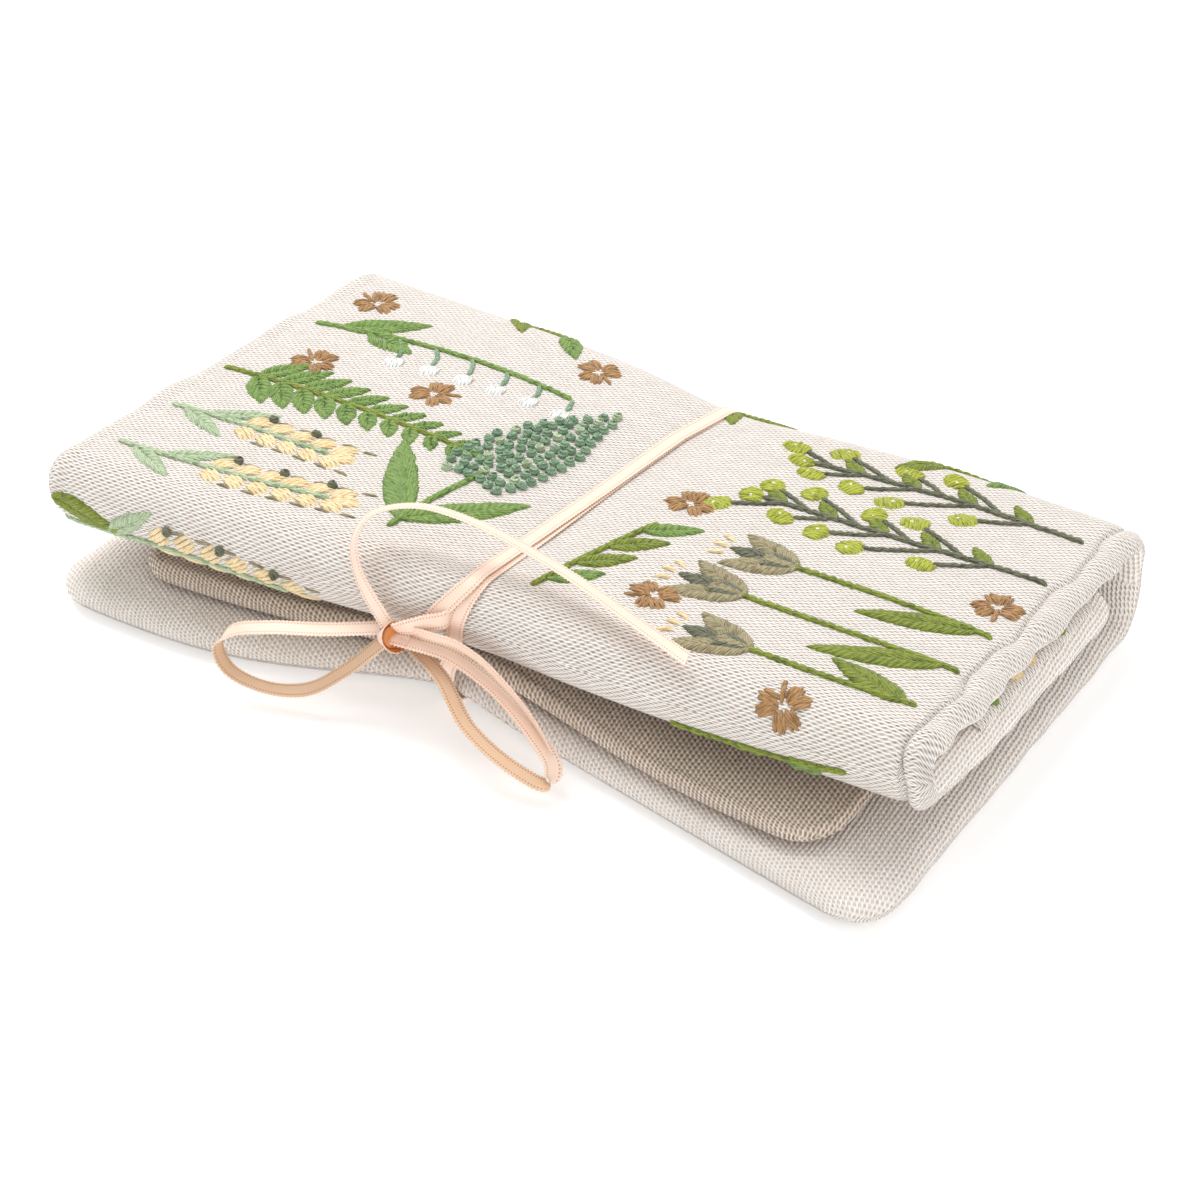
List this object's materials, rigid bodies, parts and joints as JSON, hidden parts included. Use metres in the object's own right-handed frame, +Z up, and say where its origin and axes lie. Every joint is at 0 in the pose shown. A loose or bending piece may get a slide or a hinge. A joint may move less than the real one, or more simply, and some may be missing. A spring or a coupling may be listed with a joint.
{
  "type": "needle book",
  "caption": "Padded linen needle book, letter-folded round a needle leaf and tied shut with a narrow satin ribbon; spine, cover, tuck flap and leaf open on fold joints.",
  "frame": {"origin": "centre of the back cover's outline, on the flat underside it rests on; the bow isn't counted", "axes": "+X along the folds, to the right seen from the bow; +Y from the bow to the spine; +Z up"},
  "size_m": [0.19, 0.121, 0.0421],
  "materials": {
    "outer_linen": "embroidered off-white linen, matt, coarse weave",
    "plain_linen": "plain oatmeal linen, matt, coarse weave",
    "wadding": "soft white wadding",
    "felt": "cream wool felt",
    "satin_ribbon": "peach satin ribbon with a soft sheen"
  },
  "bodies": {
    "back_cover": {"back_outer": "outer_linen", "back_padding": "wadding", "back_lining": "plain_linen", "ribbon_under": "satin_ribbon", "ribbon_drop": "satin_ribbon"},
    "spine": {"spine_outer": "outer_linen", "spine_padding": "wadding", "spine_lining": "plain_linen", "ribbon_spine": "satin_ribbon"},
    "front_cover": {"front_outer": "outer_linen", "front_padding": "wadding", "front_lining": "plain_linen", "ribbon_turn_knot": "satin_ribbon", "ribbon_turn_drop": "satin_ribbon", "ribbon_knot": "satin_ribbon", "ribbon_loop_left": "satin_ribbon", "ribbon_loop_right": "satin_ribbon", "ribbon_tail_left": "satin_ribbon", "ribbon_tail_right": "satin_ribbon"},
    "tuck_flap": {"flap_outer": "outer_linen", "flap_padding": "wadding", "flap_lining": "plain_linen", "flap_pocket": "outer_linen"},
    "needle_leaf": {"leaf_upper": "plain_linen", "leaf_felt": "felt", "leaf_lower": "plain_linen"}
  },
  "joints": [
    {"name": "spine_fold", "type": "hinge", "parent": "back_cover", "child": "spine", "pos_m": [0, 0.0575, 0], "axis": [-1, 0, 0], "range_deg": [0, 90]},
    {"name": "cover_fold", "type": "hinge", "parent": "spine", "child": "front_cover", "pos_m": [0, 0.0575, 0.026], "axis": [-1, 0, 0], "range_deg": [0, 90]},
    {"name": "flap_fold", "type": "hinge", "parent": "front_cover", "child": "tuck_flap", "pos_m": [0, -0.04, 0.0164], "axis": [-0.9977, -0.0681, 0], "range_deg": [0, 30]},
    {"name": "leaf_turn", "type": "hinge", "parent": "back_cover", "child": "needle_leaf", "pos_m": [0, 0.047, 0.0047], "axis": [-1, 0, 0], "range_deg": [0, 60]}
  ],
  "couplings": [
    {"joint": "flap_fold", "follows": "cover_fold", "ratio": 0.3},
    {"joint": "leaf_turn", "follows": "spine_fold", "ratio": 0.6}
  ]
}
